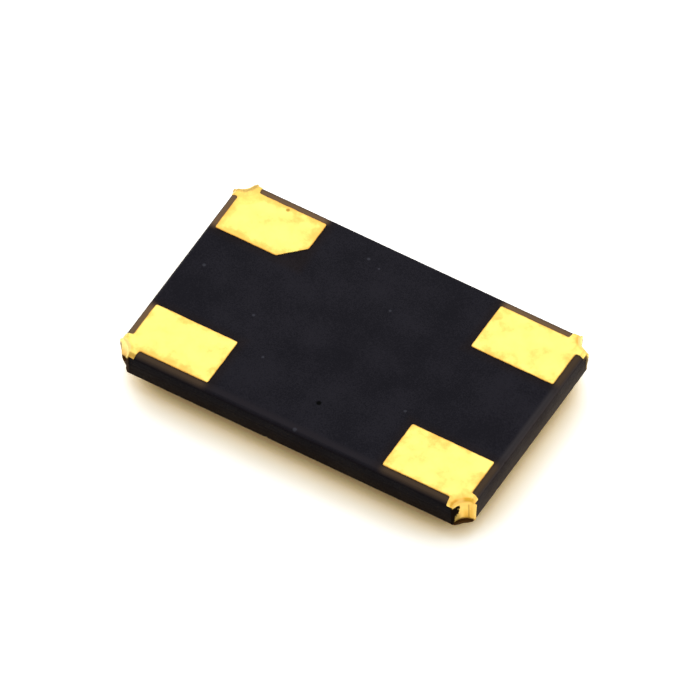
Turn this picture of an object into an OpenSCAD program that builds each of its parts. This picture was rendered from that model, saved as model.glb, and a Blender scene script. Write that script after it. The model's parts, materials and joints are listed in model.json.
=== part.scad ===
// Crystal oscillator in a black ceramic surface-mount package with four gold terminals.
// It lies on its metal lid, with the terminals up. Millimetres, +Z up.
// Origin: centre of the lid's outer face. +X runs along the long side.

/* [Ceramic body] */
// Length of the ceramic body
body_length = 5.1; // [4.8:0.05:5.6]
// Width of the ceramic body
body_width = 3.15; // [2.95:0.05:3.6]
// Thickness of the ceramic sheet that carries the terminals
sheet_thickness = 0.17; // [0.14:0.01:0.25]
// Height of the ceramic frame around the chip pocket
frame_height = 0.22; // [0.21:0.01:0.35]
// Bevel of the snapped edges on the terminal side
terminal_side_bevel = 0.04; // [0.02:0.005:0.06]
// Bevel of the snapped edges on the lid side
lid_side_bevel = 0.02; // [0.01:0.005:0.04]

/* [Terminals] */
// Length of a terminal, along the body
terminal_length = 1.21; // [0.9:0.01:1.5]
// Width of a terminal, across the body
terminal_width = 0.77; // [0.6:0.01:1]
// Bare ceramic between a terminal and the body's short side
terminal_end_margin = 0.09; // [0.06:0.005:0.15]
// Bare ceramic between a terminal and the body's long side
terminal_side_margin = 0.105; // [0.06:0.005:0.15]
// Thickness of a terminal above the ceramic
terminal_thickness = 0.015; // [0.01:0.005:0.04]
// Reach of the gold land that joins a terminal to its corner notch
corner_land = 0.3; // [0.27:0.01:0.4]
// Cut corner that marks terminal 1
index_chamfer = 0.31; // [0.15:0.01:0.4]
// Radius of the corner notches, measured on their gold
notch_radius = 0.19; // [0.15:0.01:0.22]
// Thickness of the gold-covered lining in the notches
lining_thickness = 0.025; // [0.015:0.005:0.035]
// How far the lining reaches down the notches
lining_depth = 0.35; // [0.28:0.01:0.36]
// Radius of the smaller notches in the ceramic that carries the linings
foot_notch_radius = 0.15; // [0.12:0.005:0.18]
// How far the torn edges of the lining stand out past the snapped sides
lining_burr = 0.03; // [0.01:0.005:0.04]

/* [Seal and lid] */
// Distance of the sealing print from the body's edges
print_inset = 0.1; // [0.05:0.01:0.12]
// Thickness of every printed metal layer
print_thickness = 0.015; // [0.01:0.005:0.02]
// Distance of the seal ring from the body's edges
ring_inset = 0.17; // [0.14:0.01:0.2]
// Width of the seal ring's walls
ring_wall = 0.33; // [0.28:0.01:0.4]
// Height of the seal ring
ring_height = 0.2; // [0.18:0.01:0.3]
// Radius of the seal ring's outer corners
ring_corner_radius = 0.3; // [0.25:0.01:0.4]
// Radius of the seal ring's inner corners
ring_inner_radius = 0.15; // [0.1:0.01:0.2]
// Thickness of the silver solder under the seal ring
braze_thickness = 0.015; // [0.01:0.005:0.02]
// How far the silver solder stands out around the seal ring
braze_fillet = 0.02; // [0.01:0.005:0.03]
// Thickness of the lid
lid_thickness = 0.09; // [0.07:0.01:0.12]
// Distance of the lid's edges inside the seal ring's outer edges
lid_inset = 0.1; // [0.06:0.01:0.15]
// Radius of the lid's corners
lid_corner_radius = 0.25; // [0.15:0.01:0.3]

/* [Cavity] */
// Width of the ledge that carries the crystal's fixed end
fixed_ledge = 0.95; // [0.85:0.05:1]
// Width of the ledge under the crystal's free end
free_ledge = 0.55; // [0.5:0.05:0.7]
// Width of the ledges along the two long sides
side_ledge = 0.275; // [0.2:0.025:0.3]
// Radius of the chip pocket's corners
pocket_corner_radius = 0.1; // [0.06:0.01:0.15]

/* [Crystal] */
// Thickness of the quartz blank
blank_thickness = 0.083; // [0.06:0.001:0.09]
// Space between the blank's fixed end and the seal ring
blank_end_clearance = 0.25; // [0.15:0.01:0.28]
// Space between the blank's free end and the seal ring
blank_free_clearance = 0.35; // [0.3:0.01:0.4]
// Space between the blank's long edges and the seal ring
blank_side_clearance = 0.175; // [0.1:0.005:0.25]
// Thickness of the electrode films
electrode_thickness = 0.005; // [0.002:0.001:0.008]
// Length of the electrodes
electrode_length = 2; // [1.6:0.05:2.2]
// Width of the electrodes
electrode_width = 1.3; // [1.1:0.05:1.4]
// Radius of the electrodes' corners
electrode_corner_radius = 0.15; // [0.05:0.01:0.3]
// Length and width of the printed pads that hold the blank
holder_pad = 0.5; // [0.44:0.01:0.54]
// Distance of the pads' centres from the blank's fixed end and long edges
holder_inset = 0.28; // [0.26:0.01:0.3]
// Radius of a spot of conductive glue
glue_radius = 0.18; // [0.12:0.01:0.2]
// Height of a spot of conductive glue
glue_height = 0.03; // [0.02:0.005:0.04]
// How far an electrode's tab stands out around its spot of glue
tab_margin = 0.02; // [0.01:0.005:0.04]
// Length of the rest under the blank's free end
rest_length = 0.12; // [0.08:0.01:0.14]
// Width of the rest, across the body
rest_width = 1.2; // [0.8:0.05:1.4]
// Running gap between the rest and the blank
rest_gap = 0.01; // [0.005:0.005:0.02]

/* [Oscillator chip] */
// Length of the silicon chip
chip_length = 1.1; // [0.9:0.05:1.2]
// Width of the silicon chip
chip_width = 0.9; // [0.8:0.05:1]
// Thickness of the silicon chip
chip_thickness = 0.12; // [0.1:0.01:0.13]
// Thickness of the glue under the chip
chip_glue_thickness = 0.02; // [0.01:0.005:0.03]
// How far the glue stands out around the chip
chip_glue_fillet = 0.03; // [0.01:0.005:0.04]
// How far the printed pad stands out around the chip
chip_pad_margin = 0.07; // [0.05:0.005:0.08]
// Size of the chip's bond pads
bond_pad = 0.08; // [0.07:0.005:0.1]
// Height of the chip's bond pads
bond_pad_height = 0.004; // [0.002:0.001:0.006]
// Distance of the bond pads' centres from the chip's edges
bond_pad_inset = 0.1; // [0.06:0.005:0.12]

/* [Leads and wires] */
// Length of the printed bond fingers
finger_length = 0.3; // [0.2:0.01:0.35]
// Width of the printed bond fingers
finger_width = 0.16; // [0.12:0.01:0.18]
// Space between the chip's ends and the bond fingers
finger_gap = 0.18; // [0.15:0.01:0.22]
// How far the outer bond fingers lie past the chip's long edges
finger_spread = 0.05; // [0:0.01:0.1]
// Width of the printed tracks
track_width = 0.14; // [0.1:0.01:0.16]
// Diameter of the filled vias in the frame
via_diameter = 0.1; // [0.08:0.01:0.12]
// Diameter of the gold bond wires
wire_diameter = 0.025; // [0.018:0.001:0.03]
// Diameter of the ball at a wire's first bond
ball_diameter = 0.06; // [0.045:0.001:0.065]
// Height of the ball at a wire's first bond
ball_height = 0.014; // [0.01:0.001:0.018]
// Rise of a wire's loop above the chip
loop_rise = 0.06; // [0.05:0.005:0.07]
// Length of the pressed end of a wire
stitch_length = 0.06; // [0.04:0.005:0.08]

/* [Hidden] */
$fn = 48;

// Corners of the body, as signs of x and y, in the order of terminals 1 to 4
ENABLE = [-1, 1];
GROUND = [1, 1];
OUTPUT = [1, -1];
SUPPLY = [-1, -1];
CORNERS = [ENABLE, GROUND, OUTPUT, SUPPLY];
// Sides of the body, as signs of y, of the crystal's two connections
CRYSTAL_A = 1;
CRYSTAL_B = -1;

// Heights of the layers, from the lid's outer face up
ring_bottom = lid_thickness;
ring_top = ring_bottom + ring_height;
braze_top = ring_top + braze_thickness;
ledge_level = braze_top + print_thickness;
floor_level = ledge_level + frame_height;
sheet_top = floor_level + sheet_thickness;

// Seal ring, its opening and the lid
ring_length = body_length - 2 * ring_inset;
ring_width = body_width - 2 * ring_inset;
opening_length = ring_length - 2 * ring_wall;
opening_width = ring_width - 2 * ring_wall;
lid_length = ring_length - 2 * lid_inset;
lid_width = ring_width - 2 * lid_inset;

// Chip pocket
pocket_left = -opening_length / 2 + fixed_ledge;
pocket_right = opening_length / 2 - free_ledge;
pocket_length = pocket_right - pocket_left;
pocket_width = opening_width - 2 * side_ledge;
pocket_centre = (pocket_left + pocket_right) / 2;

// Quartz blank, in heights above the ledges towards the lid
blank_left = -opening_length / 2 + blank_end_clearance;
blank_right = opening_length / 2 - blank_free_clearance;
blank_length = blank_right - blank_left;
blank_width = opening_width - 2 * blank_side_clearance;
blank_centre = (blank_left + blank_right) / 2;
glue_top = print_thickness + glue_height;
blank_near = glue_top + electrode_thickness;
blank_far = blank_near + blank_thickness;
holder_x = blank_left + holder_inset;
holder_y = blank_width / 2 - holder_inset;
tab_length = 2 * holder_inset;
tab_width = 2 * (glue_radius + tab_margin);
rest_height = blank_near - rest_gap;

// Chip, in heights above the pocket's floor towards the lid
chip_near = print_thickness + chip_glue_thickness;
chip_far = chip_near + chip_thickness;
wire_start = chip_far + bond_pad_height;
corner_pad_y = chip_width / 2 - bond_pad_inset;
crystal_pad_y = corner_pad_y / 3;

// Notches
lining_bottom = sheet_top - lining_depth;
lining_outer_radius = notch_radius + lining_thickness;

// Bond fingers, tracks and vias
corner_finger_y = chip_width / 2 + finger_spread;
crystal_finger_y = corner_finger_y / 3;
finger_reach = chip_length / 2 + finger_gap + finger_length / 2;
route_x = (ring_length - ring_wall) / 2;
route_y = (ring_width - ring_wall) / 2;
crystal_via_x = holder_x + holder_pad / 4;
crystal_via_y = holder_y - holder_pad / 4;

// Bond wires, eight-sided tubes
wire_radius = wire_diameter / 2;
wire_sides = 8;
// Share of the tube's radius at which its flat sides lie
side_share = cos(180 / wire_sides);
// Height and width of the pressed end, as shares of the wire's
stitch_squash = 0.6;
stitch_spread = 1.5;
// Radius of the bend above the ball
loop_bend = 0.035;

CERAMIC = "#26252a";
GOLD = "#f6dc62";
KOVAR = "#b9b4a6";
SOLDER = "#d8d4c8";
QUARTZ = "#dfe6e8";
SILVER_GLUE = "#a9a8a6";
SILICON = "#5a5f6b";

// The children, with z = 0 on the pocket's floor and +z towards the lid
module from_floor() {
    translate([0, 0, floor_level])
        mirror([0, 0, 1])
            children();
}

// The children, with z = 0 on the ledges and +z towards the lid
module from_ledge() {
    translate([0, 0, ledge_level])
        mirror([0, 0, 1])
            children();
}

// The children, with their origin at a corner of the body and the body towards +x and +y
module at_corner(signs) {
    translate([signs.x * body_length / 2, signs.y * body_width / 2, 0])
        mirror([signs.x > 0 ? 1 : 0, 0, 0])
            mirror([0, signs.y > 0 ? 1 : 0, 0])
                children();
}

module rounded_plate(length, width, radius, height) {
    linear_extrude(height)
        union() {
            square([length - 2 * radius, width], center = true);
            square([length, width - 2 * radius], center = true);
            for (x = [-1, 1], y = [-1, 1])
                translate([x * (length / 2 - radius), y * (width / 2 - radius)])
                    circle(radius);
        }
}

// Section of the ceramic across one of its sides
module body_section(width) {
    half = width / 2;
    polygon([
        [-half + lid_side_bevel, ledge_level],
        [half - lid_side_bevel, ledge_level],
        [half, ledge_level + lid_side_bevel],
        [half, sheet_top - terminal_side_bevel],
        [half - terminal_side_bevel, sheet_top],
        [-half + terminal_side_bevel, sheet_top],
        [-half, sheet_top - terminal_side_bevel],
        [-half, ledge_level + lid_side_bevel]
    ]);
}

// The ceramic block with its bevels, before notches and pocket
module ceramic_block() {
    intersection() {
        rotate([90, 0, 0])
            linear_extrude(body_width, center = true)
                body_section(body_length);
        rotate([90, 0, 90])
            linear_extrude(body_length, center = true)
                body_section(body_width);
    }
}

module ceramic_base() {
    color(CERAMIC)
        difference() {
            ceramic_block();
            for (corner = CORNERS)
                notch(corner);
            from_floor()
                translate([pocket_centre, 0, 0])
                    rounded_plate(pocket_length, pocket_width, pocket_corner_radius, frame_height + 1);
            for (corner = CORNERS)
                corner_print(corner);
            for (side = [CRYSTAL_A, CRYSTAL_B])
                crystal_print(side);
            ground_via();
        }
}

// Outline of a terminal and its land, from the body's corner
module terminal_outline(chamfer) {
    translate([terminal_end_margin, terminal_side_margin])
        polygon([
            [0, 0],
            [terminal_length, 0],
            [terminal_length, terminal_width - chamfer],
            [terminal_length - chamfer, terminal_width],
            [0, terminal_width]
        ]);
    square(corner_land);
}

// Section of the lining in a notch, which reaches past the body's sides by a burr
module lining_section(burr) {
    intersection() {
        difference() {
            circle(lining_outer_radius);
            circle(notch_radius);
        }
        translate([-burr, -burr])
            square(lining_outer_radius + burr);
    }
}

module terminal(corner, chamfer = 0) {
    burr_top = sheet_top - terminal_side_bevel;
    color(GOLD)
        union() {
            difference() {
                intersection() {
                    translate([0, 0, terminal_thickness])
                        ceramic_block();
                    at_corner(corner)
                        translate([0, 0, burr_top])
                            linear_extrude(1)
                                difference() {
                                    terminal_outline(chamfer);
                                    circle(notch_radius);
                                }
                }
                ceramic_block();
            }
            intersection() {
                translate([0, 0, terminal_thickness])
                    ceramic_block();
                at_corner(corner)
                    translate([0, 0, lining_bottom])
                        linear_extrude(1)
                            lining_section(0);
            }
            at_corner(corner)
                translate([0, 0, lining_bottom])
                    linear_extrude(burr_top - lining_bottom)
                        lining_section(lining_burr);
        }
}

// A straight track with round ends
module track(start, end) {
    run = end - start;
    translate(start)
        rotate(atan2(run.y, run.x))
            translate([0, -track_width / 2])
                square([norm(run), track_width]);
    for (point = [start, end])
        translate(point)
            circle(track_width / 2);
}

module finger(centre) {
    translate(centre)
        square([finger_length, finger_width], center = true);
}

function corner_finger(corner) = [
    pocket_centre + corner.x * finger_reach,
    corner.y * corner_finger_y
];
function crystal_finger(side) = [pocket_centre - finger_reach, side * crystal_finger_y];
function crystal_via(side) = [crystal_via_x, side * crystal_via_y];

// Printed conductor from a bond finger to a corner of the body
module corner_print(corner) {
    route_point = [corner.x * route_x, corner.y * route_y];
    body_corner = [corner.x * body_length / 2, corner.y * body_width / 2];
    from_floor()
        linear_extrude(print_thickness) {
            finger(corner_finger(corner));
            track(corner_finger(corner), route_point);
            track(route_point, body_corner);
        }
}

// The space of a corner notch with its lining, and of the smaller notch below it
module notch(corner) {
    at_corner(corner) {
        translate([0, 0, lining_bottom])
            cylinder(h = lining_depth + 1, r = lining_outer_radius);
        translate([0, 0, ledge_level - 1])
            cylinder(h = lining_bottom - ledge_level + 2, r = foot_notch_radius);
    }
}

module ground_via() {
    from_floor()
        translate([route_x, route_y, 0])
            cylinder(h = frame_height, d = via_diameter);
}

// Printed pad under the chip, joined to the ground finger
module chip_print() {
    length = chip_length + 2 * chip_pad_margin;
    width = chip_width + 2 * chip_pad_margin;
    from_floor()
        linear_extrude(print_thickness) {
            translate([pocket_centre, 0])
                square([length, width], center = true);
            translate([pocket_centre, corner_finger_y - finger_width / 2])
                square([finger_reach, finger_width]);
        }
}

module corner_lead(corner) {
    color(GOLD)
        difference() {
            corner_print(corner);
            notch(corner);
        }
}

module ground_lead() {
    color(GOLD)
        difference() {
            union() {
                corner_print(GROUND);
                chip_print();
                ground_via();
            }
            notch(GROUND);
        }
}

// Printed conductor and via from a bond finger to one of the crystal's holder pads
module crystal_print(side) {
    from_floor() {
        linear_extrude(print_thickness) {
            finger(crystal_finger(side));
            track(crystal_finger(side), crystal_via(side));
        }
        translate(crystal_via(side))
            cylinder(h = frame_height, d = via_diameter);
    }
}

module crystal_lead(side) {
    color(GOLD)
        union() {
            crystal_print(side);
            from_ledge()
                translate([holder_x, side * holder_y, print_thickness / 2])
                    cube([holder_pad, holder_pad, print_thickness], center = true);
        }
}

module sealing_print() {
    color(GOLD)
        translate([0, 0, braze_top])
            difference() {
                rounded_plate(
                    body_length - 2 * print_inset, body_width - 2 * print_inset,
                    ring_corner_radius, print_thickness
                );
                translate([0, 0, -1])
                    rounded_plate(opening_length, opening_width, ring_inner_radius, 2);
            }
}

module silver_solder() {
    color(SOLDER)
        translate([0, 0, ring_top])
            difference() {
                rounded_plate(
                    ring_length + 2 * braze_fillet, ring_width + 2 * braze_fillet,
                    ring_corner_radius, braze_thickness
                );
                translate([0, 0, -1])
                    rounded_plate(opening_length, opening_width, ring_inner_radius, 2);
            }
}

module seal_ring() {
    color(KOVAR)
        translate([0, 0, ring_bottom])
            difference() {
                rounded_plate(ring_length, ring_width, ring_corner_radius, ring_height);
                translate([0, 0, -1])
                    rounded_plate(opening_length, opening_width, ring_inner_radius, ring_height + 2);
            }
}

module lid() {
    color(KOVAR)
        rounded_plate(lid_length, lid_width, lid_corner_radius, lid_thickness);
}

module quartz_blank() {
    color(QUARTZ, 0.6)
        from_ledge()
            translate([blank_left, -blank_width / 2, blank_near])
                cube([blank_length, blank_width, blank_thickness]);
}

// One electrode film with the tail that leads to its tab at the blank's fixed end
module electrode_film(side) {
    translate([blank_centre, 0, 0])
        rounded_plate(electrode_length, electrode_width, electrode_corner_radius, electrode_thickness);
    tail = blank_centre - electrode_length / 2 + electrode_corner_radius - blank_left;
    translate([blank_left, side * holder_y - tab_width / 2, 0])
        cube([tail, tab_width, electrode_thickness]);
}

// Electrode on the side of the ledges
module upper_electrode() {
    color(GOLD)
        from_ledge()
            translate([0, 0, glue_top])
                electrode_film(CRYSTAL_A);
}

// Electrode on the side of the lid, wrapped round the blank's end to its tab
module lower_electrode() {
    tab_side = CRYSTAL_B * holder_y - tab_width / 2;
    wrap_height = blank_thickness + 2 * electrode_thickness;
    color(GOLD)
        from_ledge()
            union() {
                translate([0, 0, blank_far])
                    electrode_film(CRYSTAL_B);
                translate([blank_left - electrode_thickness, tab_side, glue_top])
                    cube([electrode_thickness, tab_width, wrap_height]);
                translate([blank_left, tab_side, glue_top])
                    cube([tab_length, tab_width, electrode_thickness]);
            }
}

module crystal_glue(side) {
    bulge = glue_height / 2;
    color(SILVER_GLUE)
        from_ledge()
            translate([holder_x, side * holder_y, print_thickness])
                rotate_extrude() {
                    square([glue_radius - bulge, glue_height]);
                    intersection() {
                        translate([glue_radius - bulge, bulge])
                            circle(bulge);
                        translate([glue_radius - bulge, 0])
                            square([glue_height, glue_height]);
                    }
                }
}

module crystal_rest() {
    color(CERAMIC)
        from_ledge()
            translate([(pocket_right + blank_right) / 2, 0, rest_height / 2])
                cube([rest_length, rest_width, rest_height], center = true);
}

module chip_glue() {
    size = [chip_length + 2 * chip_glue_fillet, chip_width + 2 * chip_glue_fillet, chip_glue_thickness];
    color(SILVER_GLUE)
        from_floor()
            translate([pocket_centre, 0, print_thickness + chip_glue_thickness / 2])
                cube(size, center = true);
}

function corner_pad(corner) = [
    pocket_centre + corner.x * (chip_length / 2 - bond_pad_inset),
    corner.y * corner_pad_y
];
function crystal_pad(side) = [
    pocket_centre - chip_length / 2 + bond_pad_inset,
    side * crystal_pad_y
];

module oscillator_chip() {
    pads = concat(
        [for (corner = CORNERS) corner_pad(corner)],
        [for (side = [CRYSTAL_A, CRYSTAL_B]) crystal_pad(side)]
    );
    color(SILICON)
        from_floor()
            union() {
                translate([pocket_centre, 0, chip_near + chip_thickness / 2])
                    cube([chip_length, chip_width, chip_thickness], center = true);
                for (pad = pads)
                    translate([pad.x, pad.y, chip_far + bond_pad_height / 2])
                        cube([bond_pad, bond_pad, bond_pad_height], center = true);
            }
}

// Rings of a bond wire: [distance, height, direction, upright radius, sideways radius]
function wire_rings(span) =
    let (
        top = chip_far + loop_rise,
        ball = ball_diameter / 2,
        stitch = wire_radius * stitch_squash,
        landing = print_thickness + stitch * side_share,
        run = span - stitch_length - loop_bend,
        fall = top - landing
    )
    concat(
        [
            [0, wire_start, 90, ball, ball],
            [0, wire_start + ball_height, 90, ball, ball],
            [0, wire_start + ball_height + wire_radius / 2, 90, wire_radius, wire_radius]
        ],
        [
            for (a = [90:-22.5:0])
                [loop_bend * (1 - sin(a)), top - loop_bend * (1 - cos(a)), a, wire_radius, wire_radius]
        ],
        [
            for (t = [0.25:0.25:0.75])
                [loop_bend + run * t, top - fall * t * t, -atan(2 * t * fall / run), wire_radius, wire_radius]
        ],
        [
            for (reach = [span - stitch_length, span])
                [reach, landing, 0, stitch, wire_radius * stitch_spread]
        ]
    );

// A gold wire from a bond pad on the chip down to a bond finger
module bond_wire(pad, finger_point) {
    run = finger_point - pad;
    rings = wire_rings(norm(run));
    count = len(rings);
    points = [
        for (ring = rings, k = [0:wire_sides - 1])
            let (
                turn = (k + 0.5) * 360 / wire_sides,
                upright = ring[3] * cos(turn),
                sideways = ring[4] * sin(turn)
            )
            [ring[0] - upright * sin(ring[2]), sideways, ring[1] + upright * cos(ring[2])]
    ];
    start_cap = [[for (k = [0:wire_sides - 1]) k]];
    end_cap = [[for (k = [0:wire_sides - 1]) count * wire_sides - 1 - k]];
    walls = [
        for (r = [0:count - 2], k = [0:wire_sides - 1])
            let (
                here = r * wire_sides + k,
                next = r * wire_sides + (k + 1) % wire_sides
            )
            [here, here + wire_sides, next + wire_sides, next]
    ];
    color(GOLD)
        from_floor()
            translate([pad.x, pad.y, 0])
                rotate([0, 0, atan2(run.y, run.x)])
                    polyhedron(points, concat(start_cap, walls, end_cap));
}

module corner_wire(corner) {
    bond_wire(corner_pad(corner), corner_finger(corner));
}

module crystal_wire(side) {
    bond_wire(crystal_pad(side), crystal_finger(side));
}

ceramic_base();
terminal(ENABLE, index_chamfer);  // terminal_1
terminal(GROUND);  // terminal_2
terminal(OUTPUT);  // terminal_3
terminal(SUPPLY);  // terminal_4
corner_lead(ENABLE);  // enable_lead
ground_lead();
corner_lead(OUTPUT);  // output_lead
corner_lead(SUPPLY);  // supply_lead
crystal_lead(CRYSTAL_A);  // crystal_lead_a
crystal_lead(CRYSTAL_B);  // crystal_lead_b
sealing_print();
silver_solder();
seal_ring();
lid();
quartz_blank();
upper_electrode();
lower_electrode();
crystal_glue(CRYSTAL_A);  // crystal_glue_a
crystal_glue(CRYSTAL_B);  // crystal_glue_b
crystal_rest();
chip_glue();
oscillator_chip();
corner_wire(ENABLE);  // enable_wire
corner_wire(GROUND);  // ground_wire
corner_wire(OUTPUT);  // output_wire
corner_wire(SUPPLY);  // supply_wire
crystal_wire(CRYSTAL_A);  // crystal_wire_a
crystal_wire(CRYSTAL_B);  // crystal_wire_b
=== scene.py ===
"""Looks of the crystal oscillator: a black ceramic package with four gold terminals, on its metal lid.

Sizes are in millimetres, heights are above the table, and make_piece() turns both into metres.
Each piece that can be seen stands for the CAD node that it replaces. The sealed inside keeps its CAD solids.
"""

import json
from math import asin, atan2, ceil, copysign, cos, hypot, pi, radians, sin

import bmesh
import bpy
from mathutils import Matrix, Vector, noise
from mathutils.geometry import delaunay_2d_cdt


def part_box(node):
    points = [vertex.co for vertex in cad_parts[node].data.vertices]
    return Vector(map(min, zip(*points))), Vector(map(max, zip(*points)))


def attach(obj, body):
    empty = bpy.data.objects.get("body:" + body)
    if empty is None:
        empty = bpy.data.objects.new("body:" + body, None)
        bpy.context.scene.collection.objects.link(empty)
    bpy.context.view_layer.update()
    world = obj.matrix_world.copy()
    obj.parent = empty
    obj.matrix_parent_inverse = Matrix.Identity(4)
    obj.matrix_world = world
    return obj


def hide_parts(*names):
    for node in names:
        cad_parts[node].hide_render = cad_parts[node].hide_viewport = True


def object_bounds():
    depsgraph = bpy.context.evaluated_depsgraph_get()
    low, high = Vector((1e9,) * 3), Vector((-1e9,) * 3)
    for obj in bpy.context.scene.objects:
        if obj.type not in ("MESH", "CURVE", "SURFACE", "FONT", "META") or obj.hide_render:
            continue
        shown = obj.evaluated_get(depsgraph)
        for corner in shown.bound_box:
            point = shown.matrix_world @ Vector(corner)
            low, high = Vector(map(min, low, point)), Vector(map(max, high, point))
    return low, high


MM = 0.001

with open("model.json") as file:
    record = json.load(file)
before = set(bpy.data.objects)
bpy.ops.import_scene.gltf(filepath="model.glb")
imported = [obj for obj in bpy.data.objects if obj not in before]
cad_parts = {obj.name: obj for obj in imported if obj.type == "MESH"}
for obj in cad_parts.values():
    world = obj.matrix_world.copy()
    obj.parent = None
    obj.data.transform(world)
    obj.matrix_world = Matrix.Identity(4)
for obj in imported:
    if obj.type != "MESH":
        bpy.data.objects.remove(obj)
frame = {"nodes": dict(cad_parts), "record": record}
cad_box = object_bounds()
nodes = frame["nodes"]
scene = bpy.context.scene


# ------------ sizes


def node_box(name):
    """Lowest and highest corner of a CAD node, in millimetres."""
    low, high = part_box(name)
    return [round(c / MM, 4) for c in low], [round(c / MM, 4) for c in high]


CERAMIC_LOW, CERAMIC_HIGH = node_box("ceramic_base")
HALF_LENGTH, HALF_WIDTH, SHEET_TOP = CERAMIC_HIGH
LEDGE_LEVEL = CERAMIC_LOW[2]
TERMINAL_LOW, TERMINAL_HIGH = node_box("terminal_1")
LINING_BOTTOM, TERMINAL_TOP = TERMINAL_LOW[2], TERMINAL_HIGH[2]
TERMINAL_THICKNESS = TERMINAL_TOP - SHEET_TOP
BURR = TERMINAL_HIGH[1] - HALF_WIDTH
PRINT_LOW, PRINT_HIGH = node_box("sealing_print")
SOLDER_LOW, SOLDER_HIGH = node_box("silver_solder")
RING_LOW, RING_HIGH = node_box("seal_ring")
LID_HIGH = node_box("lid")[1]
POCKET_FLOOR = node_box("enable_lead")[1][2]

# Ceramic
TOP_BEVEL = 0.04
LEDGE_BEVEL = 0.02
LINING_OUTER_RADIUS = 0.215
FOOT_NOTCH_RADIUS = 0.15
FOOT_TIP_BREAK = 0.042
POCKET_CENTRE, POCKET_LENGTH, POCKET_WIDTH, POCKET_RADIUS = 0.2, 2.6, 1.6, 0.1

# Terminals. Their print is a hair smaller all round than the CAD's.
NOTCH_RADIUS = 0.19
END_MARGIN, SIDE_MARGIN = 0.099, 0.117
TERMINAL_LENGTH, TERMINAL_WIDTH = 1.19, 0.746
CORNER_LAND = 0.3
INDEX_CHAMFER = 0.302
# Name, signs of x and y, and cut corner
TERMINALS = [
    ("terminal_1", (-1, 1), INDEX_CHAMFER),
    ("terminal_2", (1, 1), 0),
    ("terminal_3", (1, -1), 0),
    ("terminal_4", (-1, -1), 0),
]

# Seal ring and lid
RING_WALL = 0.33
RING_RADIUS, RING_INNER_RADIUS = 0.3, 0.15
LID_RADIUS = 0.25
# Width of the weld, and distance between its spots and their height
WELD_TRACK, WELD_PITCH, SPOT_HEIGHT = 0.13, 0.085, 0.0035

# Spacing of the points along the sides, along the lid's sides, over a terminal's face and along its outline
SIDE_STEP, LID_STEP, FACE_STEP, PRINT_STEP = 0.02, 0.0125, 0.03, 0.014
# Steps round the frames' corners, the body's notches, the foot's notches and broken tips, the lips, and the
# corners of the print
CORNER_STEPS, NOTCH_STEPS, FOOT_STEPS, TIP_STEPS, LIP_STEPS, BEND_STEPS = 14, 18, 10, 3, 26, 6


# ------------ meshes


# Corners of the body, anticlockwise from above, and the way to each of them along the side before it
CORNERS = [(1, -1), (1, 1), (-1, 1), (-1, -1)]
WAYS = [(1, 0), (0, 1), (-1, 0), (0, -1)]


def fractal(x, y, z, size, octaves):
    """Smooth noise from about -1 to 1, whose largest bumps are size wide."""
    return noise.fractal(Vector((x, y, z)) / size, 0.8, 2, octaves)


def make_piece(name, points, faces, replaced, slot, sharp=35):
    """A piece from points in millimetres that stands for the CAD node replaced."""
    mesh = bpy.data.meshes.new(name)
    mesh.from_pydata([Vector(p) * MM for p in points], [], faces)
    joined = bmesh.new()
    joined.from_mesh(mesh)
    bmesh.ops.remove_doubles(joined, verts=joined.verts, dist=1e-5 * MM)
    bmesh.ops.recalc_face_normals(joined, faces=joined.faces)
    joined.to_mesh(mesh)
    joined.free()
    mesh.shade_smooth()
    mesh.set_sharp_from_angle(angle=radians(sharp))
    mesh.materials.append(SLOTS[slot])
    piece = bpy.data.objects.new(name, mesh)
    scene.collection.objects.link(piece)
    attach(piece, "root")
    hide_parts(replaced)


def loft(rings, closed=False):
    """Points and faces through rings of equal length; without closed, the first and last ring get a cap."""
    count = len(rings[0])
    points = [p for ring in rings for p in ring]
    pairs = list(zip(range(len(rings) - 1), range(1, len(rings))))
    if closed:
        pairs.append((len(rings) - 1, 0))
    faces = [
        (a * count + k, a * count + (k + 1) % count, b * count + (k + 1) % count, b * count + k)
        for a, b in pairs
        for k in range(count)
    ]
    if not closed:
        faces.append(tuple(range(count)))
        faces.append(tuple((len(rings) - 1) * count + k for k in range(count)))
    return points, faces


def points_between(begin, end, parts):
    """Points that cut a line into equal parts, without its ends."""
    shares = [j / parts for j in range(1, parts)]
    return [[a + (b - a) * share for a, b in zip(begin, end)] for share in shares]


def step_count(side, step):
    """Steps along a side; sides 0 and 2 run along y, 1 and 3 along x."""
    return ceil((2 * HALF_WIDTH if side % 2 == 0 else 2 * HALF_LENGTH) / step)


def rounded_rectangle(half_length, half_width, radius, step=SIDE_STEP):
    """Points [x, y, outward x, outward y] round a rectangle, the same number for any inset of it."""
    middles = [(sx * (half_length - radius), sy * (half_width - radius)) for sx, sy in CORNERS]
    found = []
    for k, middle in enumerate(middles):
        for j in range(CORNER_STEPS + 1):
            turn = radians(90 * (k - 1) + 90 * j / CORNER_STEPS)
            out = (cos(turn), sin(turn))
            found.append([middle[0] + radius * out[0], middle[1] + radius * out[1], *out])
        following = middles[(k + 1) % 4]
        end = (following[0] + radius * out[0], following[1] + radius * out[1])
        found += [[*p, *out] for p in points_between(found[-1], end, step_count(k, step))]
    return found


# ------------ ceramic body


def notch_arc(radius, start, steps):
    """Points round a notch, between the turn start and the same angle before a quarter turn."""
    turns = [start + (pi / 2 - 2 * start) * j / steps for j in range(steps + 1)]
    return [[radius * cos(t), radius * sin(t), -cos(t), -sin(t)] for t in turns]


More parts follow.
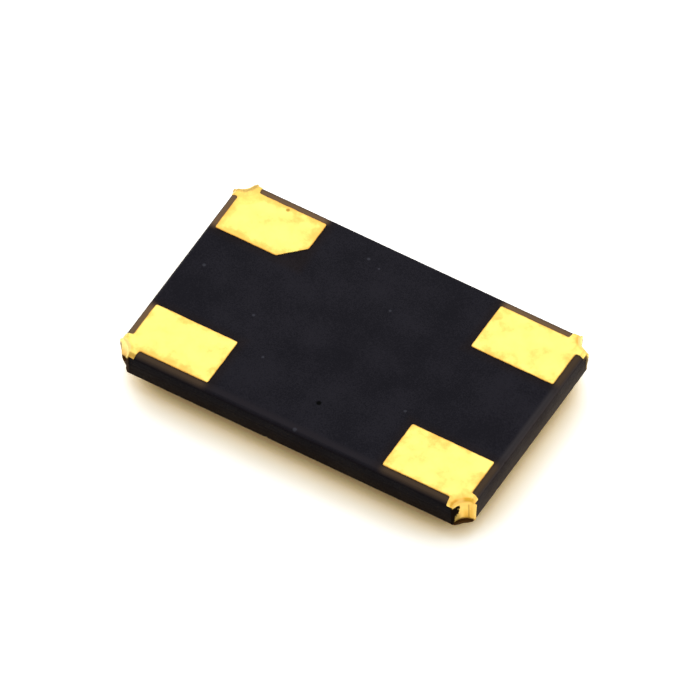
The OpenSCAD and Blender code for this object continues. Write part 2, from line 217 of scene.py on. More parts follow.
def notch_path(inset, foot):
    """Points [before, after, outward before, outward after] round a corner.

    They are the distances to the corner along the side before it and the side after it. The foot is the
    lowest ceramic, whose smaller notch leaves a step for the lining to stand on.
    """
    start = asin(inset / LINING_OUTER_RADIUS)
    if not foot:
        return notch_arc(LINING_OUTER_RADIUS, start, NOTCH_STEPS)
    far = LINING_OUTER_RADIUS * cos(start)
    radius = FOOT_NOTCH_RADIUS
    # The thin tips of the foot are broken off
    start = asin((inset + FOOT_TIP_BREAK) / radius)
    near = radius * cos(start) + FOOT_TIP_BREAK
    lead = [[far + (near - far) * j / TIP_STEPS, inset, 0, -1] for j in range(TIP_STEPS + 1)]
    tail = [[after, before, out_after, out_before] for before, after, out_before, out_after in lead[::-1]]
    return lead + notch_arc(radius, start, FOOT_STEPS) + tail


def ceramic_outline(inset, foot):
    """Points [x, y, outward x, outward y] round the body with its corner notches."""
    path = notch_path(inset, foot)
    found = []
    for k, signs in enumerate(CORNERS):
        along, onward, following = WAYS[k], WAYS[(k + 1) % 4], CORNERS[(k + 1) % 4]
        corner = (signs[0] * HALF_LENGTH, signs[1] * HALF_WIDTH)
        for before, after, out_before, out_after in path:
            found.append(
                [corner[i] - along[i] * before + onward[i] * after for i in (0, 1)]
                + [-along[i] * out_before + onward[i] * out_after for i in (0, 1)]
            )
        next_corner = (following[0] * HALF_LENGTH, following[1] * HALF_WIDTH)
        end = [next_corner[i] - onward[i] * path[0][0] - along[i] * inset for i in (0, 1)]
        found += [[*p, *along] for p in points_between(found[-1], end, step_count(k, SIDE_STEP))]
    return found


# Places where the brittle edge has broken out: x, y, z, reach and depth
CHIPS = [
    (-0.35, -HALF_WIDTH, LEDGE_LEVEL, 0.04, 0.014),
    (1.62, -HALF_WIDTH, LEDGE_LEVEL, 0.03, 0.018),
    (-1.9, -HALF_WIDTH, LEDGE_LEVEL, 0.028, 0.015),
    (HALF_LENGTH, 0.03, SHEET_TOP, 0.03, 0.02),
    (HALF_LENGTH, 0.26, SHEET_TOP, 0.024, 0.016),
    (HALF_LENGTH, -0.62, SHEET_TOP - 0.03, 0.03, 0.018),
    (0.72, HALF_WIDTH, SHEET_TOP, 0.03, 0.016),
    (-HALF_LENGTH, 0.35, LEDGE_LEVEL, 0.035, 0.02),
]

# Height of the lowest ceramic, which has the smaller notches
FOOT_HEIGHT = LINING_BOTTOM - LEDGE_LEVEL

# Height above the ledges, inset of the side, and roughness of the side there. The groove at 0.22 is the
# seam between the frame and the sheet above it.
CERAMIC_PROFILE = [
    (0, LEDGE_BEVEL + 0.006, 0),
    (0.001, LEDGE_BEVEL, 0.002),
    (0.01, 0.01, 0.003),
    (0.02, 0.002, 0.004),
    (0.03, 0.0005, 0.005),
    (FOOT_HEIGHT - 0.003, 0, 0.006),
    (FOOT_HEIGHT, 0, 0.006),
    *[(height, 0, 0.007) for height in (0.055, 0.07, 0.09, 0.11, 0.13, 0.15)],
    (0.17, 0, 0.006),
    (0.19, 0, 0.005),
    (0.206, 0.0003, 0.004),
    (0.214, 0.0015, 0.003),
    (0.22, 0.003, 0.003),
    (0.226, 0.0015, 0.003),
    (0.234, 0.0003, 0.003),
    (0.255, 0, 0.003),
    (0.28, 0, 0.003),
    (0.305, 0, 0.0025),
    (0.33, 0, 0.002),
    (0.344, 0.001, 0.002),
    (0.353, 0.005, 0.002),
    (0.365, 0.016, 0.002),
    (0.377, 0.028, 0.0018),
    (0.386, 0.0375, 0.0014),
    (0.389, 0.042, 0.0008),
    (0.39, 0.048, 0),
]


# Widths of the fracture's bumps, of its larger waves and of the bumps in the chips
FRACTURE_GRAIN, FRACTURE_WAVE, CHIP_GRAIN = 0.055, 0.3, 0.02


def roughened(point, amount, z):
    """A point of the side, pushed into the body by the fracture's roughness and by chips."""
    x, y, out_x, out_y = point
    push = amount * (0.45 + 0.55 * fractal(x, y, z * 1.4, FRACTURE_GRAIN, 5))
    push += 0.5 * amount * max(0, fractal(x + 9, y, z, FRACTURE_WAVE, 2))
    for cx, cy, cz, reach, depth in CHIPS:
        away = hypot(x - cx, y - cy, 0.9 * (z - cz))
        if away < reach:
            push += depth * (1 - (away / reach) ** 2) ** 2 * (0.8 + 0.4 * fractal(x, y, z, CHIP_GRAIN, 3))
    push = max(0, push)
    return x - out_x * push, y - out_y * push


def pocket_outline(inset, outer):
    """Points round the chip pocket, each opposite a point of the body's outline."""
    half_length, half_width = POCKET_LENGTH / 2 - inset, POCKET_WIDTH / 2 - inset
    radius = POCKET_RADIUS - inset
    inner_x, inner_y = half_length - radius, half_width - radius
    found = []
    for x, y, _ in outer:
        # The direction from the centre, stretched so that corners meet corners
        way_x, way_y = x / HALF_LENGTH, y / HALF_WIDTH
        scale = 1 / max(abs(way_x), abs(way_y))
        px, py = way_x * scale * half_length, way_y * scale * half_width
        ax, ay = abs(px) - inner_x, abs(py) - inner_y
        if ax > 0 and ay > 0:
            away = hypot(ax, ay)
            px = copysign(inner_x + radius * ax / away, px)
            py = copysign(inner_y + radius * ay / away, py)
        found.append((POCKET_CENTRE + px, py))
    return found


def make_ceramic():
    rings = []
    for height, inset, amount in CERAMIC_PROFILE:
        z = LEDGE_LEVEL + height
        outline = ceramic_outline(inset, height < FOOT_HEIGHT - 0.001)
        rings.append([(*roughened(point, amount, z), z) for point in outline])
    # The pocket, from its floor down to the ledges, which face the lid
    floor_edge = [(0.02, POCKET_FLOOR), (0.006, POCKET_FLOOR - 0.005), (0, POCKET_FLOOR - 0.02)]
    pocket = []
    for inset, z in floor_edge + [(0, LEDGE_LEVEL)]:
        pocket.append([(x, y, z) for x, y in pocket_outline(inset, rings[0])])
    make_piece("ceramic_body", *loft(pocket + rings), "ceramic_base", "black_ceramic")


# ------------ terminals


# A place in a corner of the body is given by u and v, its distances to the short and the long side, or by
# its turn, the direction from the corner: 0 along the long side and a quarter turn along the short one.

# Distances from the print's outline to the flat face, and to the middle of the rounded rim between them
RIM_INSET, RIM_MIDDLE = 0.006, 0.0018
# How far the rim lies below the face at its middle and at the outline
MIDDLE_DROP, OUTLINE_DROP = 0.0022, 0.007
# How far the points on the face stay from its outline, and from the body's corner
OUTLINE_GAP, CORNER_GAP = 0.011, 0.236
# Distances from the corner of the points where the ceramic's bevel begins
BEVEL_PLACES = (0.24, 0.258, 0.276)
# Width and height of the waves of the printed edge and of the face, and where the edge's waves begin
EDGE_WAVE, EDGE_WAVE_HEIGHT, FACE_WAVE, FACE_WAVE_HEIGHT, EDGE_WAVE_START = 0.12, 0.0035, 0.16, 0.0011, 0.05
# Degrees round the lip, and shares of the way down the wall, at which the lining has points
LIP_TURNS = (18, 36, 54, 72, 90)
WALL_SHARES = (0.06, 0.13, 0.2, 0.28, 0.36, 0.45, 0.54, 0.63, 0.72, 0.81, 0.9, 0.96, 1)


def midway(turn, power):
    """0 at the two ends of a notch and 1 half way round it."""
    return max(0, sin(2 * turn)) ** power


def lip_radius(turn):
    """Where the face bends down into the notch: it is sharper towards the snapped sides."""
    return 0.2 + 0.028 * midway(turn, 0.7)


def wall_radius(turn, depth):
    """The notch's gold wall, which narrows towards the face; depth is the share of the way down."""
    return NOTCH_RADIUS - 0.003 - 0.019 * midway(turn, 0.8) * (1 - depth) ** 1.5


def outside_lining(u, v):
    """The place, or the nearest one that isn't over the lining's own wall."""
    grow = max(1, (LINING_OUTER_RADIUS + 0.001) / hypot(u, v))
    return u * grow, v * grow


def ceramic_height(u, v):
    """Height of the ceramic under a terminal."""
    return SHEET_TOP - min(max(TOP_BEVEL - min(u, v), 0), TOP_BEVEL)


def with_round_corners(corners):
    """Points along an open line through corners (u, v, radius)."""
    found = []
    for k, (u, v, radius) in enumerate(corners):
        here = Vector((u, v))
        if k == 0 or k == len(corners) - 1 or radius == 0:
            found.append(here)
            continue
        before = (Vector(corners[k - 1][:2]) - here).normalized()
        after = (Vector(corners[k + 1][:2]) - here).normalized()
        half = before.angle(after) / 2
        back = radius * cos(half) / sin(half)
        centre = here + (before + after).normalized() * radius / sin(half)
        begin, end = here + before * back, here + after * back
        for j in range(BEND_STEPS + 1):
            mid = begin.lerp(end, j / BEND_STEPS) - centre
            found.append(centre + mid.normalized() * radius)
    line = [found[0]]
    for a, b in zip(found, found[1:]):
        parts = max(1, round((b - a).length / PRINT_STEP))
        line += [a.lerp(b, j / parts) for j in range(1, parts + 1)]
    return line


def waved(line, seed):
    """A printed line with the small waves of its edge, which fade out at the body's sides."""
    wavy = []
    for k, p in enumerate(line):
        if min(p.x, p.y) < 1e-6 or k in (0, len(line) - 1):
            wavy.append(p)
            continue
        run = (line[k + 1] - line[k - 1]).normalized()
        out = Vector((run.y, -run.x))
        fade = min(1, min(p.x, p.y) / EDGE_WAVE_START)
        wavy.append(p + out * fade * EDGE_WAVE_HEIGHT * fractal(p.x, p.y, seed, EDGE_WAVE, 4))
    return wavy


def terminal_outline(chamfer, seed):
    """The printed outline of a terminal from its notch round to its notch, and the notch's arc back."""
    land, side, end = CORNER_LAND, SIDE_MARGIN, END_MARGIN
    far_u, far_v = end + TERMINAL_LENGTH, side + TERMINAL_WIDTH
    # The far corner, or the two ends of the cut that marks terminal 1
    if chamfer:
        far = [(far_u, far_v - chamfer, 0.03), (far_u - chamfer, far_v, 0.03)]
    else:
        far = [(far_u, far_v, 0.028)]
    corners = [
        (lip_radius(0), 0, 0),
        (land - 0.012, 0, 0.01),
        (land + 0.004, side, 0.025),
        (far_u, side, 0.028),
        *far,
        (end, far_v, 0.028),
        (end, land + 0.004, 0.025),
        (0, land - 0.012, 0.01),
        (0, lip_radius(pi / 2), 0),
    ]
    turns = [pi / 2 * (1 - j / LIP_STEPS) for j in range(1, LIP_STEPS)]
    arc = [Vector((cos(t), sin(t))) * lip_radius(t) for t in turns]
    return waved(with_round_corners(corners), seed), arc


def inset_line(line, amount):
    """An open line moved to its left, with its ends kept on the body's edges."""
    moved = []
    for k, p in enumerate(line):
        run = (line[min(k + 1, len(line) - 1)] - line[max(k - 1, 0)]).normalized()
        left = Vector((-run.y, run.x))
        q = p + left * amount
        if p.y < 1e-6:
            q.y = 0
        if p.x < 1e-6:
            q.x = 0
        moved.append(q)
    moved[0], moved[-1] = line[0].copy(), line[-1].copy()
    return moved


def clear_of(point, outline, gap):
    """True if a point lies inside an outline and no nearer to it than gap."""
    inside = False
    count = len(outline)
    for k in range(count):
        a, b = outline[k], outline[(k + 1) % count]
        if (a - point).length_squared < gap * gap:
            return False
        if (a.y > point.y) != (b.y > point.y):
            if point.x < (b.x - a.x) * (point.y - a.y) / (b.y - a.y) + a.x:
                inside = not inside
    return inside


def face_triangles(outline, seed):
    """The flat face as points and triangles, and which of the points each outline point became."""
    inside = []
    far_u, far_v = END_MARGIN + TERMINAL_LENGTH, SIDE_MARGIN + TERMINAL_WIDTH
    for i in range(1, int(far_u / FACE_STEP) + 1):
        for j in range(1, int(far_v / FACE_STEP) + 1):
            shift = 0.25 * FACE_STEP * noise.noise(Vector((i * 1.7, j * 1.3, seed)))
            inside.append(Vector((i * FACE_STEP + shift, j * FACE_STEP - shift)))
    inside += [Vector((TOP_BEVEL, w)) for w in BEVEL_PLACES]
    inside += [Vector((w, TOP_BEVEL)) for w in BEVEL_PLACES]
    inside = [p for p in inside if p.length > CORNER_GAP and clear_of(p, outline, OUTLINE_GAP)]
    total = len(outline)
    found = delaunay_2d_cdt(outline + inside, [], [list(range(total))], 1, 1e-7)
    points, triangles, origins = found[0], found[2], found[3]
    became = {s: k for k, sources in enumerate(origins) for s in sources if s < total}
    return points, triangles, became


def face_height(u, v, seed):
    """Height of the plated face, which is slightly wavy."""
    waviness = FACE_WAVE_HEIGHT * fractal(u, v, seed, FACE_WAVE, 4)
    return ceramic_height(u, v) + TERMINAL_THICKNESS + min(0, waviness - 0.0006)


def torn(z, seed, steady):
    """How far the plating stands out past the snapped side; it fades down the side unless steady."""
    depth = SHEET_TOP - z
    rise = min(1, max(0, (depth - 0.016) / 0.02))
    fade = min(1, max(0, (depth - 0.1) / 0.2))
    fade = fade * fade * (3 - 2 * fade)
    ragged = 0.8 + 0.2 * fractal(z, seed, 0, 0.05, 3)
    return BURR * rise * (1 - (0.4 if steady else 0.95) * fade) * ragged


def lining_path(turn, start, seed):
    """Distances to the corner and heights, from the face's height start over the lip and down the wall."""
    lip, wall = lip_radius(turn), wall_radius(turn, 0)
    drop = 0.012 + 0.023 * midway(turn, 0.7)
    path = []
    for a in LIP_TURNS:
        path.append((lip - (lip - wall) * sin(radians(a)), start - drop * (1 - cos(radians(a)))))
    wall_top = start - drop
    for share in WALL_SHARES:
        path.append((wall_radius(turn, share), wall_top + (LINING_BOTTOM - wall_top) * share))
    # The lower end is ragged
    radius, z = path[-1]
    path[-1] = (radius + 0.003, z + max(0, 0.004 * fractal(turn * 0.2, seed, 0, 0.04, 3)))
    return [(radius + 0.0022 * fractal(turn * 0.2, z, seed, 0.05, 3), z) for radius, z in path]


class TerminalMesh:
    """The points and faces of one terminal."""

    def __init__(self, signs, seed):
        self.signs, self.seed = signs, seed
        self.points, self.faces = [], []

    def add(self, u, v, z):
        """Adds a point and returns its number."""
        self.points.append((self.signs[0] * (HALF_LENGTH - u), self.signs[1] * (HALF_WIDTH - v), z))
        return len(self.points) - 1

    def join(self, lines):
        """Adds the faces between neighbouring lines of points."""
        for a, b in zip(lines, lines[1:]):
            self.faces += [(a[j], a[j + 1], b[j + 1], b[j]) for j in range(len(a) - 1)]

    def rim(self, corner, middle, outer):
        """The rounded edge of the print, from the flat face's corner down to the ceramic."""
        base = ceramic_height(outer.x, outer.y)
        high = self.add(middle.x, middle.y, base + TERMINAL_THICKNESS - MIDDLE_DROP)
        low = self.add(outer.x, outer.y, base + TERMINAL_THICKNESS - OUTLINE_DROP)
        return [corner, high, low, self.add(*outside_lining(outer.x, outer.y), base)]

    def column(self, p, spread, side):
        """Lines down the inner and up the outer face of the lining, below a place of the lip.

        Spread is how much of the burr shows there, and side the way that the burr stands out.
        """
        turn = atan2(p.y, p.x)
        height = ceramic_height(p.x, p.y)
        steady = self.signs == (1, -1)

        def place(radius, z):
            tear = spread * spread * torn(z, self.seed + side[1], steady)
            return self.add(radius * cos(turn) + side[0] * tear, radius * sin(turn) + side[1] * tear, z)

        path = lining_path(turn, height + TERMINAL_THICKNESS, self.seed)
        inner = [place(radius, z) for radius, z in path]
        heights = [LINING_BOTTOM + rise for rise in (0, 0.08, 0.17)]
        heights += [SHEET_TOP - 0.08, SHEET_TOP - TOP_BEVEL - 0.01]
        outer = [place(LINING_OUTER_RADIUS, z) for z in heights]
        radius = LINING_OUTER_RADIUS
        outer.append(self.add(radius * cos(turn), radius * sin(turn), height - 0.004))
        return inner, outer

    def close_end(self, corner, inner, outer, rim):
        """Closes the torn end of the lining, whose inner and outer line face each other rung by rung."""
        outer = outer[::-1]
        rungs = len(inner) - 1
        match = [outer[min(len(outer) - 1, round(j * (len(outer) - 1) / rungs))] for j in range(rungs + 1)]
        for j in range(rungs):
            quad = [inner[j], inner[j + 1], match[j + 1], match[j]]
            if quad[2] == quad[3]:
                quad.pop()
            self.faces.append(tuple(quad))
        self.faces.append((corner, inner[0], outer[0], rim[3], rim[2], rim[1]))


def make_terminal(name, signs, chamfer):
    seed = 7.3 * signs[0] + 3.1 * signs[1]
    mesh = TerminalMesh(signs, seed)
    edge, arc = terminal_outline(chamfer, seed)
    outline = inset_line(edge, RIM_INSET) + arc
    flat_points, triangles, became = face_triangles(outline, seed)
    top = [mesh.add(u, v, face_height(u, v, seed)) for u, v in flat_points]
    mesh.faces += [tuple(top[k] for k in t) for t in triangles]
    middle = inset_line(edge, RIM_MIDDLE)
    rims = [mesh.rim(top[became[k]], middle[k], p) for k, p in enumerate(edge)]
    mesh.join(rims)

    # The underside has the face's triangles, with the rim's feet as its outline
    feet = {became[k]: rim[3] for k, rim in enumerate(rims)}
    bottom = []
    for k, (u, v) in enumerate(flat_points):
        u, v = outside_lining(u, v)
        bottom.append(feet[k] if k in feet else mesh.add(u, v, ceramic_height(u, v)))
    mesh.faces += [tuple(bottom[k] for k in t[::-1]) for t in triangles]

    # The lip and the lining of the notch, as columns down from the arc
    places = [len(edge) - 1, *range(len(edge), len(outline)), 0]
    last = len(places) - 1
    columns = []
    for n, k in enumerate(places):
        spread = max(0, 1 - min(n, last - n) / 3.5)
        side = (-1 if n < last / 2 else 0, -1 if n > last / 2 else 0)
        columns.append((top[became[k]], *mesh.column(outline[k], spread, side), bottom[became[k]]))
    mesh.join([[corner, *inner, *outer, foot] for corner, inner, outer, foot in columns])
    mesh.close_end(*columns[0][:3], rims[-1])
    mesh.close_end(*columns[-1][:3], rims[0])
    make_piece(name + "_plating", mesh.points, mesh.faces, name, "gold_plating", sharp=50)


# ------------ seal ring, solder and lid


def frame_rings(half_length, half_width, radius, profile, wave=0):
    """Rings of a frame: profile gives an inset and a height for each."""
    rings = []
    for inset, z in profile:
        outline = rounded_rectangle(half_length - inset, half_width - inset, max(0.02, radius - inset))
        ring = []
        for x, y, out_x, out_y in outline:
            shift = wave * (fractal(x, y, z, 0.15, 4) - 0.5)
            ring.append((x + out_x * shift, y + out_y * shift, z))
        rings.append(ring)
    return rings


def frame_mesh(high, outside, inside, wave):
    """Points and faces of a layer between ceramic and lid, whose opening is the seal ring's."""
    x, y = high[:2]
    wall = RING_WALL + (x - RING_HIGH[0])
    outer = frame_rings(x, y, RING_RADIUS, outside, wave)
    inner = frame_rings(x - wall, y - wall, RING_INNER_RADIUS, inside)
    return loft(outer + inner, closed=True)


def make_print():
    z, top = PRINT_LOW[2], PRINT_HIGH[2]
    side = [(0.006, top), (0, top - 0.003), (0.001, z + 0.006), (0.006, z)]
    mesh = frame_mesh(PRINT_HIGH, side, [(0, z), (0, top)], 0.004)
    make_piece("sealing_layer", *mesh, "sealing_print", "printed_gold")


def make_solder():
    z, top = SOLDER_LOW[2], SOLDER_HIGH[2]
    reach = SOLDER_HIGH[0] - RING_HIGH[0]
    meniscus = [(reach * 0.45, z + 0.007), (reach * 0.85, z + 0.002), (reach, z)]
    side = [(0, top), (0.0015, top - 0.003)] + meniscus
    mesh = frame_mesh(SOLDER_HIGH, side, [(0, z), (0, top)], 0.004)
    make_piece("solder_seam", *mesh, "silver_solder", "silver_solder")


def make_ring():
    z, top = RING_LOW[2], RING_HIGH[2]
    lower = [(0.014, z), (0.006, z + 0.002), (0.0015, z + 0.007), (0, z + 0.016), (0, z + 0.06)]
    upper = [(0, (z + top) / 2), (0, top - 0.05), (0, top - 0.012), (0.002, top - 0.004), (0.006, top)]
    inside = [(-0.005, top), (0, top - 0.006), (0, z + 0.01), (-0.008, z)]
    mesh = frame_mesh(RING_HIGH, lower + upper, inside, 0.0025)
    make_piece("sealing_ring", *mesh, "seal_ring", "ring_alloy")


def make_lid():
    x, y, top = LID_HIGH
    # Inset from the lid's edge, height above the table, and how much of the weld's ripple shows there
    profile = [
        (1, 0, 0),
        (0.5, 0, 0),
        (0.24, 0, 0),
        (WELD_TRACK + 0.03, 0.0004, 0),
        (WELD_TRACK + 0.012, 0.0016, 0.1),
        (WELD_TRACK, 0.0035, 0.4),
        (0.11, 0.0055, 1),
        (0.085, 0.0065, 1),
        (0.06, 0.007, 1),
        (0.035, 0.0085, 1),
        (0.016, 0.013, 0.8),
        (0.005, 0.022, 0.4),
        (0, 0.036, 0.3),
        (0, 0.058, 0.4),
        (0.002, 0.074, 0.8),
        (-0.004, top - 0.008, 1),
        (-0.012, top, 1),
    ]
    rings = []
    for inset, z, share in profile:
        ring = []
        outline = rounded_rectangle(x - inset, y - inset, max(0.05, LID_RADIUS - inset), LID_STEP)
        for px, py, out_x, out_y in outline:
            # Overlapping spots that the rollers leave as they run along each side
            run = px if abs(out_y) > abs(out_x) else py
            spot = 1 - (2 * ((run / WELD_PITCH) % 1) - 1) ** 2
            ripple = share * (SPOT_HEIGHT * spot + 0.0012 * fractal(px, py, z, 0.05, 3))
            if inset > 0.02:
                ring.append((px, py, z + max(0, ripple)))
            else:
                push = 0.006 * share - ripple
                ring.append((px - out_x * push, py - out_y * push, z))
        rings.append(ring)
    make_piece("metal_lid", *loft(rings), "lid", "lid_alloy", sharp=40)


# ------------ shader graphs


def maths_call(operation):
    """A function of values that adds a maths node."""
    return lambda first, *others: first.graph.maths(operation, first, *others)


least, most = maths_call("MINIMUM"), maths_call("MAXIMUM")


class Value:
    """The output of a node; arithmetic with it adds maths nodes."""

    __add__ = maths_call("ADD")
    __sub__ = maths_call("SUBTRACT")
    __mul__ = maths_call("MULTIPLY")
    __pow__ = maths_call("POWER")
    __abs__ = maths_call("ABSOLUTE")
    __gt__ = maths_call("GREATER_THAN")
    __lt__ = maths_call("LESS_THAN")

    def __init__(self, graph, socket):
        self.graph, self.socket = graph, socket

    def __rsub__(self, other):
        return self.graph.maths("SUBTRACT", other, self)

    def rise(self, low, high, start=0, end=1):
        """Start up to low, eased to end at high."""
        inputs = {"Value": self, "From Min": low, "From Max": high, "To Min": start, "To Max": end}
        node = self.graph.add("MapRange", inputs, interpolation_type="SMOOTHSTEP")
        return Value(self.graph, node.outputs["Result"])

    def fall(self, low, high, start=1):
        """Start up to low, eased to 0 at high."""
        return self.rise(low, high, start, 0)


class Graph:
    """Adds shader nodes to a node tree."""

    def __init__(self, tree):
        self.tree = tree

    def add(self, kind, inputs=(), **settings):
        """A node whose inputs are fed with numbers, colours and values."""
        node = self.tree.nodes.new("ShaderNode" + kind)
        for key, value in settings.items():
            setattr(node, key, value)
        for name, value in dict(inputs).items():
            self.put(value, node.inputs[name])
        return node

    def put(self, value, socket):
        """Feeds a socket; a tuple is a colour."""
        if isinstance(value, Value):
            self.tree.links.new(value.socket, socket)
        elif isinstance(value, tuple):
            socket.default_value = (*value, 1)
        else:
            socket.default_value = value

    def maths(self, operation, *values):
        node = self.add("Math", enumerate(values), operation=operation)
        return Value(self, node.outputs[0])

    def seen_by_camera(self):
        """1 for the camera, and for metal and glass that it looks at."""
        outputs = self.add("LightPath").outputs
        names = ("Is Camera Ray", "Is Glossy Ray", "Is Transmission Ray", "Diffuse Depth")
        camera, glossy, through, bounces = (Value(self, outputs[name]) for name in names)
        return most(most(glossy, through) * (bounces < 0.5), camera)


class Shader(Graph):
    """A node material whose places are in millimetres."""

    def __init__(self, name):
        self.material = bpy.data.materials.new(name)
        self.material.use_nodes = True
        super().__init__(self.material.node_tree)
        metres = Value(self, self.add("TexCoord").outputs["Object"])
        scale = self.add("VectorMath", {0: metres, "Scale": 1 / MM}, operation="SCALE")
        self.place = Value(self, scale.outputs[0])

    def surface(self, **values):
        """Feeds the inputs of the surface; a name's spaces are written as underscores."""
        for name, value in values.items():
            self.put(value, self.tree.nodes["Principled BSDF"].inputs[name.replace("_", " ")])

    def texture(self, kind, size, stretch, **inputs):
        """A texture node with cells of about size millimetres."""
        mapping = self.add("Mapping", {"Vector": self.place, "Scale": [s / size for s in stretch]})
        return self.add(kind, {"Vector": Value(self, mapping.outputs[0]), "Scale": 1, **inputs})

    def noise(self, size, detail, roughness, stretch=(1, 1, 1)):
        """Noise from 0 to 1."""
        node = self.texture("TexNoise", size, stretch, Detail=detail, Roughness=roughness)
        return Value(self, node.outputs["Fac"])

    def spots(self, size, stretch):
        """Distance to the nearest of scattered points, and a value of that point's cell."""
        node = self.texture("TexVoronoi", size, stretch)
        apart = self.add("SeparateColor", {0: Value(self, node.outputs["Color"])})
        return Value(self, node.outputs["Distance"]), Value(self, apart.outputs[0])

    def mix(self, share, first, second, blend="MIX"):
        node = self.add("Mix", {0: share, 6: first, 7: second}, data_type="RGBA", blend_type=blend)
        return Value(self, node.outputs[2])

    def axes(self):
        """x, y and z of the place, in millimetres."""
        node = self.add("SeparateXYZ", {0: self.place})
        return [Value(self, output) for output in node.outputs]

    def near(self, point, radius):
        """1 within a spot round a point, falling to 0 at its edge."""
        node = self.add("VectorMath", {0: self.place, 1: list(point)}, operation="DISTANCE")
        return Value(self, node.outputs["Value"]).fall(radius * 0.45, radius)

    def bump(self, height, depth, strength=1):
        """Bumps depth millimetres high."""
        node = self.add("Bump", {"Height": height, "Distance": depth * MM, "Strength": strength})
        self.surface(Normal=Value(self, node.outputs[0]))


class Place:
    """Where a point of the surface lies on the body."""

    def __init__(self, s):
        self.x, self.y, self.z = s.axes()
        # Distances to the short side, to the long side and to the body's corner
        self.u, self.v = HALF_LENGTH - abs(self.x), HALF_WIDTH - abs(self.y)
        self.away = s.maths("SQRT", self.u * self.u + self.v * self.v)


class TerminalPlace(Place):
    """Where a point of a terminal lies in its corner of the body."""

    def __init__(self, s):
        super().__init__(s)
        self.turn = s.maths("ARCTAN2", self.v, self.u)
        self.depth = SHEET_TOP - self.z
        # 1 on the wall of the notch
        self.lining = self.away.fall(0.2, 0.222)
        # 1 in the corner of terminal 1, 2, 3 or 4
        right, left, back, front = self.x > 0, self.x < 0, self.y > 0, self.y < 0
        self.corner = {1: left * back, 2: right * back, 3: right * front, 4: left * front}


def pad_distance(at):
    """Distance inside the edge of the nearest terminal's rectangle, negative outside it."""
    x, y = abs(at.x), abs(at.y)
    high_x, high_y = HALF_LENGTH - END_MARGIN, HALF_WIDTH - SIDE_MARGIN
    gap_x = least(x - (high_x - TERMINAL_LENGTH), high_x - x)
    gap_y = least(y - (high_y - TERMINAL_WIDTH), high_y - y)
    return least(gap_x, gap_y)


# ------------ black ceramic


# Dust and a pit on the ceramic's upper face: x, y and radius
DUST = [
    (-2.26, 0.13, 0.03),
    (-0.54, 1.26, 0.028),
    (-0.35, 1.19, 0.02),
    (0.11, 0.69, 0.024),
    (-1.32, -0.24, 0.026),
    (-0.88, -0.75, 0.024),
    (1.08, -0.58, 0.026),
    (0.045, -1.528, 0.036),
]
PIT = (0.09, -1.02, 0.045)


def face_colour(s, at, cloud, grain):
    """The upper face, with painted highlights along its front rim and, lighter, along the right short side.
    """
    uneven = cloud * 0.4 + grain * 0.6
    face = s.mix(uneven.rise(0.4, 0.6), (0.0106, 0.0102, 0.0149), (0.0204, 0.0194, 0.0264))
    face = s.mix(grain.rise(0.66, 0.8, 0, 0.35), face, (0.034, 0.031, 0.036))
    # Painted highlight along the rim by the short side on the right
    face = s.mix((at.x > 0) * at.u.fall(0.04, 0.11), face, (0.044, 0.0395, 0.0435))
    # Painted highlight in a band just inside the front rim
    front_rim_highlight = at.v.rise(0.02, 0.05) * at.v.fall(0.08, 0.17)
    return s.mix(front_rim_highlight * (at.y < 0), face, (0.0225, 0.0198, 0.0252))


def side_colour(s, at, grain):
    """Snapped sides: the short ones painted lighter as lit, all painted lighter and warmer low down."""
    # Painted light from the paper, growing towards the bottom of the sides
    low = at.z.fall(LEDGE_LEVEL + 0.02, SHEET_TOP - 0.06)
    # Painted highlight on the bevel
    bevel = at.z.rise(SHEET_TOP - TOP_BEVEL - 0.01, SHEET_TOP - TOP_BEVEL + 0.01)
    rough = grain.rise(0.3, 0.7)
    shaded_long_side = s.mix(low, (0.0036, 0.0028, 0.0045), (0.0095, 0.005, 0.0022))
    shaded_long_side = s.mix(rough * 0.35, shaded_long_side, (0.011, 0.0085, 0.0088))
    shaded_long_side = s.mix(bevel, shaded_long_side, (0.009, 0.0068, 0.0092))
    lit_short_side = s.mix(low, (0.022, 0.0165, 0.017), (0.068, 0.054, 0.045))
    lit_short_side = s.mix(rough * 0.3, lit_short_side, (0.058, 0.047, 0.043))
    lit_short_side = s.mix(bevel, lit_short_side, (0.06, 0.0495, 0.0515))
    # The short sides are painted lighter than the long ones, as lit sides
    return s.mix(at.u.fall(0.02, 0.06), shaded_long_side, lit_short_side)


def strips(at):
    """1 on the narrow strips between the terminals and the body's edge."""
    past_x = HALF_LENGTH - END_MARGIN - TERMINAL_LENGTH - abs(at.x)
    past_y = HALF_WIDTH - SIDE_MARGIN - TERMINAL_WIDTH - abs(at.y)
    outward = least(at.v.rise(0, 0.08, 0.45, 1), at.u.rise(0, 0.05, 0.85, 1))
    return most(past_x, past_y).fall(-0.09, 0.05) * outward * least(at.u, at.v).fall(0.09, 0.15)


